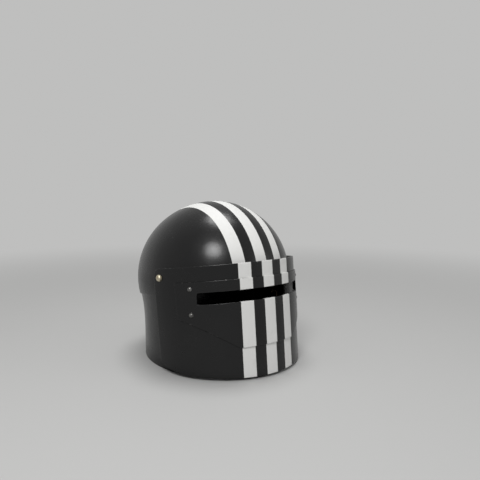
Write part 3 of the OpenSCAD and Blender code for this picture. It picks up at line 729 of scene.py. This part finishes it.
pad_linen = linen("pad_linen", (0.42, 0.39, 0.32), (0.28, 0.255, 0.205), (0.13, 0.11, 0.085))
piping_cord = thread("piping_cord", (0.33, 0.27, 0.19), (0.16, 0.12, 0.08))
upward = np.linspace(0, 1, pad_rows)[:, None]
pad_z = pad_low + (pad_high - pad_low) * upward
pad_sheets = []
for name, (start, end) in pads.items():
    start, end = radians(start), radians(end)
    girth_turn = np.linspace(start, end, 600)
    girth = travelled(skull_point(girth_turn, pad_middle, steel))
    along = np.linspace(0, girth[-1], int(girth[-1] / column_gap))
    pad_turn = np.interp(along, girth, girth_turn)
    across = along / girth[-1]
    channels = max(2, round(girth[-1] / channel_gap))
    bulge = np.abs(np.sin(pi * channels * across)) ** 0.5
    rounding = (1 - (2 * upward - 1) ** 6) * (1 - (2 * across - 1) ** 24)
    swell = (0.25 + 0.75 * bulge) * rounding
    crown = (1 - (2 * across - 1) ** 4) * (1 - (2 * upward - 1) ** 4)
    thick = pad_hem + (pad_thick - pad_hem) * (0.35 + 0.65 * crown) * swell
    squeezed = pad_least + (thick - pad_least) * pad_unpuffed
    piece = plate(name + "_quilt", leaned(skull_point(pad_turn, pad_z, pad_back)),
                  leaned(skull_point(pad_turn, pad_z, pad_back + squeezed)), 0, (pad_linen,))
    for fact, *skins in (("along", along / 1000, along / 1000),
                         ("upward", (pad_z - pad_low) / 1000, (pad_z - pad_low) / 1000),
                         ("swell", 0.0, swell)):
        note(piece.data, fact, "POINT",
             np.stack([np.broadcast_to(values, swell.shape) for values in skins]).ravel())
    sewn = piece.vertex_groups.new(name="sewn")
    held = ((bulge < 0.3) | (upward < 0.01) | (upward > 0.99)
            | (across < 0.001) | (across > 0.999))
    both_skins = np.stack([np.ones_like(held), held]).ravel()
    sewn.add(np.nonzero(both_skins)[0].tolist(), 1.0, "REPLACE")
    cloth = piece.modifiers.new("stuffing", "CLOTH")
    for setting, value in {"quality": 6, "mass": 0.001, "tension_stiffness": 2,
                           "compression_stiffness": 2, "shear_stiffness": 1,
                           "bending_stiffness": 0.02, "shrink_min": -0.2,
                           "use_pressure": True, "uniform_pressure_force": 30,
                           "vertex_group_mass": "sewn"}.items():
        setattr(cloth.settings, setting, value)
    cloth.settings.effector_weights.gravity = 0
    cloth.collision_settings.use_collision = False
    pad_sheets.append(piece)
    loop = np.concatenate(round_corners(girth[-1] / 2, (pad_high - pad_low) / 2, piping_corner))
    rim = np.concatenate([loop, loop[:1]]) * [(end - start) / girth[-1], 1]
    rim_travel = travelled(rim * [turn_reach, 1])
    rim_at = np.arange(0, rim_travel[-1] - piping_gap, piping_step)
    rim_turn, rim_z = (reached(rim_at, rim_travel, rim) + [(start + end) / 2, pad_middle]).T
    piping = tubes(name + "_piping", [(skull_point(rim_turn, rim_z, pad_back + piping_off),
                                       piping_thick, piping_sides, True)], piping_cord)
    stands_for(piping, "shell", "padding")
for step in range(1, puff_steps + 1):
    bpy.context.scene.frame_set(step)
graph = bpy.context.evaluated_depsgraph_get()
for piece in pad_sheets:
    rest = np.array([v.co for v in piece.data.vertices])
    move = np.array([v.co for v in piece.evaluated_get(graph).data.vertices]) - rest
    far = np.linalg.norm(move, axis=1, keepdims=True)
    move *= np.minimum(1, most_puff / np.maximum(far, 1e-9))
    piece.modifiers.clear()
    piece.data.vertices.foreach_set("co", (rest + move).ravel())
    piece.data.update()
bpy.context.scene.frame_set(1)
for piece in pad_sheets:
    subdivision = piece.modifiers.new("smooth_cover", "SUBSURF")
    subdivision.levels = subdivision.render_levels = 1
    stands_for(piece, "shell", "padding", piece.name.removesuffix("_quilt"))

# Chin strap: two halves of waxed leather, each riveted through the back plate a little forward
# of the ear, between two steel washers. The long half is punched and hangs open, its end lying
# inside the rim. The short half folds round the buckle's bar and is sewn back on itself.
strap_width, strap_gap, strap_high, strap_rivet, strap_straight = 20.0, 1.8, 91.0, 82.0, 60.0
strap_fore = radians(-12)
strap_foot = wall_point(strap_fore, strap_rivet, steel)
strap_face = pi + atan2(sin(strap_fore) / neck_depth, cos(strap_fore) / neck_side)
strap_lie = strap_gap + hide / 2
strap_fall = [[strap_lie, strap_high], [strap_lie, strap_straight]]
strap_seam, seam_start, strap_lift = 7.8, 2.0, 0.2
punch, punch_square, hole_pitch = 2.1, 4, 12
strap_steps = np.arange(-strap_width / 2, strap_width / 2 + 1)
seam_ends = (-strap_seam, strap_seam)


def on_wall(points, side):
    """Millimetres on the neck's inner wall, +X inwards and Z up, to the part's frame."""
    x, y, z = np.moveaxis(np.asarray(points, float), -1, 0)
    return level(xyz(side * (strap_foot[0] + x * cos(strap_face) - y * sin(strap_face)),
                     strap_foot[1] + x * sin(strap_face) + y * cos(strap_face), z))


class StrapLine:
    """The middle line of a strap, seen along its width: where it runs and how it faces."""

    def __init__(self, side, *parts):
        self.side, self.points = side, np.concatenate(parts)
        self.travel = travelled(self.points)

    def at(self, run, across, off):
        """A point of the strap, off from its middle line towards the wearer."""
        here, ahead = [reached(run + step, self.travel, self.points) for step in (-0.05, 0.05)]
        way = (ahead - here) / np.linalg.norm(ahead - here, axis=-1, keepdims=True)
        out = np.stack([-way[..., 1], way[..., 0]], -1)
        spot = (here + ahead) / 2 + np.asarray(off)[..., None] * out
        return on_wall(xyz(spot[..., 0], across, spot[..., 1]), self.side)

    def seam(self, run, across, face):
        """A run of stitches on one face of the strap, face being 1 or -1."""
        run, across = np.broadcast_arrays(np.asarray(run, float), np.asarray(across, float))
        near, far = [self.at(run, across, face * (hide / 2 + strap_lift + off)) for off in (0, 1)]
        return near, far - near


def strap_leaf(name, line, stations, steps, holes, slit=None, tip=None):
    """A strap with punched holes, an open slit and a round tip, as one sheet of leather."""
    run, across = np.meshgrid(stations, steps, indexing="ij")
    middle_run, middle_across = [(row[1:] + row[:-1]) / 2 for row in (stations, steps)]
    keep = np.ones((len(stations) - 1, len(steps) - 1), bool)
    if slit:
        start, end, half = slit
        keep &= ~(((middle_run > start) & (middle_run < end))[:, None]
                  & (abs(middle_across) < half))
    index = np.arange(run.size).reshape(run.shape)
    spots, rings = [np.stack([run, across], -1).reshape(-1, 2)], []
    for centre in holes:
        keep &= ~((abs(middle_run - centre) < punch_square)[:, None]
                  & (abs(middle_across) < punch_square))
        a, b = np.searchsorted(stations, [centre - punch_square - 0.01,
                                          centre + punch_square - 0.01])
        c, d = np.searchsorted(steps, [-punch_square - 0.01, punch_square - 0.01])
        before = np.concatenate([index[a, c:d], index[a:b, d], index[b, d:c:-1],
                                 index[b:a:-1, c]])
        square = spots[0][before] - [centre, 0]
        circle = punch * square / np.linalg.norm(square, axis=1, keepdims=True)
        for share in (0.45, 0.8, 1.0):
            after = sum(map(len, spots)) + np.arange(len(before))
            spots.append(square * (1 - share) + circle * share + [centre, 0])
            rings.append(np.stack([before, np.roll(before, -1), np.roll(after, -1), after], -1))
            before = after
    cells = np.concatenate([grid_cells(*run.shape)[keep]] + rings)
    spots = np.concatenate(spots)
    if tip:
        past = spots - [tip, 0]
        reach = abs(past).max(1)
        square = np.clip((reach - punch_square) / (strap_width / 2 - punch_square), 0, 1)
        pull = 1 + square * (reach / np.maximum(np.linalg.norm(past, axis=1), 1e-6) - 1)
        spots = np.where(past[:, :1] > 0, past * pull[:, None] + [tip, 0], spots)
    wave = rumple(xyz(*spots.T, 0), scale=14, depth=0.12)
    skins = [line.at(*spots.T, off + wave) for off in (hide / 2, -hide / 2)]
    return plate(name, *skins, leather_round, (strap_leather,), cells)


strap_leather = leather("strap_leather", (0.2, 0.1, 0.052), (0.11, 0.052, 0.027),
                        (0.03, 0.016, 0.01))
long_bend, long_run, long_holes = 14.0, 78.0, 5
rivet_run = strap_high - strap_rivet
ground = soft_gap + hide / 2
long_end = strap_lie + long_bend + long_run
long_line = StrapLine(1, strap_fall,
                      bend((strap_lie + long_bend, ground + long_bend), long_bend, 180, 270, 40),
                      [[long_end, ground], [long_end + strap_width, ground]])
long_tip = long_line.travel[-1] - strap_width
# Stations 1 mm apart, counted from the top end and then from the round tip, so that the rivet's
# hole and the punched holes both fall on them.
long_stations = np.concatenate([np.arange(0, 94.0), long_tip + np.arange(-80.0, 11.0)])
strap_long = strap_leaf("strap_long_half", long_line, long_stations, strap_steps,
                        [rivet_run] + [long_tip - hole_pitch * k for k in range(long_holes)],
                        tip=long_tip)
stands_for(strap_long, "shell", "leather", "strap_long")
edge_run = np.linspace(seam_start, long_tip, 240)
round_tip = bend((long_tip, 0), strap_seam, -90, 90, 40).T
long_seam = [long_line.seam(edge_run, across, 1) for across in seam_ends]
long_seam += [long_line.seam(*round_tip, 1),
              long_line.seam(seam_start, np.linspace(*seam_ends, 40), 1)]
sew("strap_long_stitches", long_seam)

bar_z, bar_wire, bar_air, fold_high, fold_spare = 30.0, 3.0, 0.15, 22.0, 2
bar_r = bar_wire / 2 + bar_air
bar_x, fold_r = strap_gap + hide + bar_r, bar_r + hide / 2
fold_x, fold_z = bar_x + fold_r, bar_z + fold_high
slit_half, slit_up, fold_seam, fold_seam_up = 1.8, 6.0, 2.2, 7.6
short_line = StrapLine(-1, strap_fall, bend((bar_x, bar_z), fold_r, 180, 360, 40),
                       [[fold_x, fold_z], [fold_x, fold_z + fold_spare]])
bend_start, bend_end = strap_high - bar_z, short_line.travel[-1] - fold_high - fold_spare
slit_start = bend_start - slit_up
short_stations = np.unique(np.round(np.concatenate([
    np.arange(0, slit_start), np.arange(slit_start, bend_start),
    np.linspace(bend_start, bend_end, 13), bend_end + np.arange(0, fold_high + 0.5)]), 5))
short_steps = np.array([step for step in strap_steps if abs(step) not in (1, 2)]
                       + [-slit_half, slit_half])
strap_short = strap_leaf("strap_short_half", short_line, short_stations, np.sort(short_steps),
                         [rivet_run], slit=(slit_start, bend_end + slit_up, slit_half))
stands_for(strap_short, "shell", "leather", "strap_short")
fold_top = bend_end + fold_high - fold_seam
short_seam = [short_line.seam(run, across, face)
              for run, face in ((np.linspace(seam_start, bend_start - fold_high - 1, 60), 1),
                                (np.linspace(bend_end + seam_start, fold_top, 40), -1))
              for across in seam_ends]
short_seam += [short_line.seam(run, np.linspace(*seam_ends, 30), face)
               for run, face in ((seam_start, 1), (fold_top, -1), (bend_end + fold_seam_up, -1))]
sew("strap_short_stitches", short_seam)

# Keeper: a narrow loop of thinner leather round both layers of the short half, its ends sewn
# together. The tail of the long half tucks into it.
keeper_low, keeper_high, keeper_hide, keeper_corner, keeper_belly = 39.0, 47.0, 1.2, 1.1, 0.12
keeper_seam, keeper_inset, keeper_round = 1.6, 0.8, 0.0004
keeper_x = (strap_gap - soft_gap, 2 * (hide + bar_r + soft_gap))
keeper_y = strap_width / 2 + soft_gap


def keeper_loop(grown):
    """The loop's outline from above: an oblong with round corners, closed with level runs."""
    corners = round_corners(keeper_x[1] / 2, keeper_y, keeper_corner, grown)
    between = np.linspace(0, 1, 7)[1:-1, None]
    sides = [corner[-1:] + (after[:1] - corner[-1:]) * between
             for corner, after in zip(corners, corners[1:] + corners[:1])]
    loop = np.concatenate([part for both in zip(corners, sides) for part in both])
    return loop + [keeper_x[0] + keeper_x[1] / 2, 0]


def keeper_skin(off):
    """A face of the loop, which bellies a little at half its height."""
    up = np.linspace(0, 1, 7)
    loops = [xyz(*keeper_loop(off + keeper_belly * sin(pi * u)).T,
                 keeper_low + (keeper_high - keeper_low) * u) for u in up]
    return on_wall(np.stack(loops), -1)


keeper = plate("strap_keeper_loop", keeper_skin(keeper_hide - keeper_belly), keeper_skin(0.0),
               keeper_round, (strap_leather,), ring=True)
stands_for(keeper, "shell", "leather", "strap_keeper")
keeper_front = sum(keeper_x) + keeper_hide + strap_lift
keeper_run = xyz(keeper_front, 0,
                 np.linspace(keeper_low + keeper_inset, keeper_high - keeper_inset, 20))
keeper_out = on_wall(keeper_run + [1, 0, 0], -1) - on_wall(keeper_run, -1)
keeper_runs = [(on_wall(keeper_run + [0, y, 0], -1), keeper_out)
               for y in (-keeper_seam, keeper_seam)]
sew("keeper_stitches", keeper_runs, length=2.2, gap=1.0, thick=0.34)

# Strap washers and buckle: washers stamped from steel sheet, and a frame and a tongue bent from
# steel wire. The tongue swings on the frame's upper bar.
forged_steel = metal("buckle_steel", (0.5, 0.49, 0.47), (0.2, 0.19, 0.175), 0.34, (1, 1, 3))
dress(turned_steel, "strap_washers")
dress(forged_steel, "buckle_frame", "buckle_tongue")

# Visor: a steel plate bent round the face from ear to ear as part of an oval tube, with the eye
# slot cut through it. Its bottom edge follows the rim and sweeps up to the back, and its rear top
# corners are round about the bolts. It has the skull's paint, and the stripes go on down it.
visor_side, visor_depth, visor_back = 117.0, 128.0, 3.0
visor_lean = radians(2.5)
visor_top, visor_lift, sweep_y, sweep_r = 143.0, 4.0, 70.0, 130.0
pivot_fore, pivot_z = 32.0, 130.0
ear = visor_top - pivot_z
slot_half, slot_low, slot_high, slot_r = 89.7, 91.3, 107.2, 2.0
visor_columns, visor_rows, visor_round = 26, (30, 6, 13), 0.0008
front_columns = np.concatenate([np.linspace(0, slot_half - slot_r, 36),
                                slot_half - slot_r * np.array([0.7, 0.4, 0.15, 0]),
                                [slot_half + 1.5]])


def tube_x(tube_y, off):
    """Half the oval tube's width at a depth along it."""
    reach = (tube_y - visor_back) / (visor_depth - off)
    return (visor_side - off) * np.sqrt(np.maximum(1 - reach ** 2, 0))


def tube_place(angle, z, off):
    """A point of the leaning oval tube at the height z, in the skull's frame."""
    y = visor_back + (visor_depth - off) * sin(angle)
    h = (z - y * sin(visor_lean)) / cos(visor_lean)
    return ((visor_side - off) * cos(angle),
            y * cos(visor_lean) - h * sin(visor_lean), z)


def tube_grid(off, outer_off, rear, side_count, bottom, top, rows):
    """Grid of one side of a visor plate from the middle to its upright rear edge, with the
    level of its bottom and top edges found column by column, and its mirror."""
    across, side = visor_side - off, visor_side - outer_off
    depth, outer_depth = visor_depth - off, visor_depth - outer_off
    last = acos(front_columns[-1] / side)

    def angle(column, z):
        """Where a column stands round the tube: at its own width in front, then at even steps
        to the upright rear edge."""
        if column < len(front_columns):
            return -acos(front_columns[column] / across)
        share = (column - len(front_columns) + 1) / side_count
        tube_rear = rear * cos(visor_lean) + z * sin(visor_lean) - visor_back
        outer = -last + (asin(tube_rear / outer_depth) + last) * share
        even_y = asin(max(-1, outer_depth * sin(outer) / depth))
        even_x = -acos(min(1, side * cos(outer) / across)) if share < 1 else even_y
        blend = min(1, share * side_count / max(1, 0.8 * min(side_count, 11)))
        return even_x * (1 - blend) + even_y * blend

    def edge(column, level_of, z):
        """Level at which a column meets an edge, settled in a few rounds from a first guess."""
        for _ in range(12):
            z = level_of(*tube_place(angle(column, z), z, off))
        return z

    columns = []
    for column in range(len(front_columns) + side_count):
        x = min(front_columns[column], slot_half) if column < len(front_columns) else slot_half
        past = max(x - slot_half + slot_r, 0)
        bite = slot_r - sqrt(max(slot_r ** 2 - past ** 2, 0))
        stops = [edge(column, bottom, 60), slot_low + bite, slot_high - bite,
                 edge(column, top, 110)]
        heights = [np.linspace(a, b, n + 1)[:-1] for a, b, n in zip(stops, stops[1:], rows)]
        columns.append([tube_place(angle(column, h), h, off)
                        for h in np.concatenate(heights + [stops[-1:]])])
    half = np.array(columns).transpose(1, 0, 2)
    return leaned(np.concatenate([half[:, :0:-1] * [-1, 1, 1], half], 1))


def slotted(name, outer_off, rear, side_count, bottom, top, rows):
    """A visor plate, 2 mm thick from its outer face, with the eye slot left open."""
    half = len(front_columns) + side_count
    keep = np.ones((sum(rows), 2 * half - 2), bool)
    middle, reach = half - 1, len(front_columns) - 2
    keep[rows[0]:rows[0] + rows[1], middle - reach:middle + reach] = False
    skins = [tube_grid(off, outer_off, rear, side_count, bottom, top, rows)
             for off in (outer_off, outer_off + steel)]
    cells = grid_cells(sum(rows) + 1, 2 * half - 1)[keep]
    return plate(name, *skins, visor_round, painted, cells)


def visor_bottom(x, y, z):
    """Level of the bottom edge, which sweeps up to the back in an arc."""
    run = max(y * cos(lean) + z * sin(lean) + sweep_y, 0)
    rim_z = visor_lift + sweep_r - sqrt(sweep_r ** 2 - run ** 2)
    return (rim_z + y * sin(lean)) / cos(lean)


def visor_crest(x, y, z):
    """Level of the top edge, which rounds off about the bolts."""
    run = min(max(y + pivot_fore, 0), ear)
    return pivot_z + sqrt(ear ** 2 - run ** 2)


visor = slotted("visor_shell", 0, ear - pivot_fore, visor_columns, visor_bottom, visor_crest,
                visor_rows)
stands_for(visor, "visor", "black_enamel", "visor_plate")

# Sight plate: a second plate over the visor that stiffens the eye slot. Its level bottom edge
# turns up in a round corner and slants to the sides. It is bent to the visor and riveted on.
sight_top, sight_bottom, sight_flat, sight_r = 122.3, 29.3, 47.0, 18.0
sight_side_z, sight_fore, sight_columns, sight_rows = 73.0, 59.0, 11, (24, 6, 8)
sight_off = -lap_gap - steel
sight_side_y = sight_side_z * sin(visor_lean) - sight_fore * cos(visor_lean)
slope = atan2(sight_side_z - sight_bottom, tube_x(sight_side_y, sight_off) - sight_flat)
bite_x = sight_flat - sight_r * tan(slope / 2)
turn_x = bite_x + sight_r * sin(slope)


def sight_foot(x, y, z):
    """Level of the bottom edge: flat in the middle, then round, then slanting."""
    x = abs(x)
    if x > turn_x:
        return sight_bottom + (x - sight_flat) * tan(slope)
    return sight_bottom + sight_r - sqrt(sight_r ** 2 - max(x - bite_x, 0) ** 2)


def sight_crest(x, y, z):
    """Level of the top edge, which is straight."""
    return sight_top


sight = slotted("sight_shell", sight_off, -sight_fore, sight_columns, sight_foot, sight_crest,
                sight_rows)
stands_for(sight, "visor", "black_enamel", "sight_plate")

# Sight rivets: two at each end of the sight plate, with small domed steel heads. Their steel is
# coloured dark and dull; the dark is painted shade, for polished heads that reflect a dim room.
shade_darkened_rivet_steel = metal("sight_rivet_steel", (0.2, 0.197, 0.19), (0.07, 0.068, 0.065), 0.26, (1, 1, 1))
dress(shade_darkened_rivet_steel, "sight_rivets")

# Temple bolts: turned brass with broad domed heads gone pale and dull, on tapered brass washers
# that true up the sloping visor. Inside, each turns in its sleeve and takes a steel washer and
# a nut, left free enough for the visor to lift.
dull_brass = metal("dull_brass", (0.6, 0.55, 0.43), (0.4, 0.34, 0.23), 0.42, (1, 1, 1))
nut_steel = metal("nut_steel", (0.5, 0.49, 0.48), (0.26, 0.25, 0.24), 0.32, (14, 1, 1))
dress(dull_brass, "pivot_bolts", "taper_washers")
dress(nut_steel, "pivot_washers", "pivot_nuts")

# Stand: a plain pale floor that runs out into a background of its own colour, in soft studio
# light from a broad overhead lamp, a key lamp on the left and a low fill on the right.
pale_tone = (0.52, 0.52, 0.515)
floor_plain, floor_far, floor_half, sky_light = 0.35, 1.6, 40, 0.45
look_at = Vector((0, 0, 0.12))


def seen_rays(nodes):
    """1 for rays that show a background: to the camera, in gloss and through glass."""
    camera_ray, gloss_ray, glass_ray = [
        nodes.node("ShaderNodeLightPath", {}, {}, way)
        for way in ("Is Camera Ray", "Is Glossy Ray", "Is Transmission Ray")]
    summed = {"operation": "ADD", "use_clamp": True}
    camera_or_gloss = nodes.node("ShaderNodeMath", summed, {0: camera_ray, 1: gloss_ray})
    return nodes.node("ShaderNodeMath", summed, {0: camera_or_gloss, 1: glass_ray})


floor_mesh = bpy.data.meshes.new("floor")
floor_mesh.from_pydata([(x * floor_half, y * floor_half, 0)
                        for x, y in ((-1, -1), (1, -1), (1, 1), (-1, 1))], [], [(0, 1, 2, 3)])
floor = placed("floor", floor_mesh)
pale = Finish("pale_floor", {"Base Color": pale_tone, "Roughness": 0.7,
                             "Specular IOR Level": 0.2})
glow = pale.node("ShaderNodeEmission", {}, {"Color": pale_tone, "Strength": 1.0})
reach = pale.node("ShaderNodeVectorMath", {"operation": "LENGTH"}, {0: pale.spot()}, "Value")
share = pale.step(reach, floor_plain, floor_far) * seen_rays(pale)
plain = Socket(pale, pale.shader.outputs[0])
whole = pale.node("ShaderNodeMixShader", {}, {0: share, 1: plain, 2: glow})
pale.fill(pale.tree.nodes["Material Output"], {"Surface": whole})
floor_mesh.materials.append(pale.material)


def lamp(name, place, size, watts):
    """A round lamp turned towards the middle of the helmet."""
    data = bpy.data.lights.new(name, "AREA")
    data.shape, data.size, data.energy = "DISK", size, watts
    light = placed(name, data)
    light.location = place
    light.rotation_euler = (look_at - Vector(place)).to_track_quat("-Z", "Y").to_euler()


lamp("overhead", (0.18, 0.2, 1.8), 0.7, 13.8)
lamp("key", (-0.8, -0.8, 1.26), 0.56, 12.5)
lamp("fill", (1.3, -1.5, 0.7), 1.2, 3)
world = bpy.data.worlds.new("studio")
bpy.context.scene.world = world
world.use_nodes = True
sky = Nodes(world.node_tree)
light_sky = sky.tree.nodes["Background"]
sky.fill(light_sky, {"Color": pale_tone, "Strength": sky_light})
seen_sky = sky.node("ShaderNodeBackground", {}, {"Color": pale_tone, "Strength": 1.0})
both_skies = sky.node("ShaderNodeMixShader", {}, {0: seen_rays(sky), 2: seen_sky,
                                                  1: Socket(sky, light_sky.outputs[0])})
sky.fill(sky.tree.nodes["World Output"], {"Surface": both_skies})

bpy.context.scene.view_settings.view_transform = "Standard"
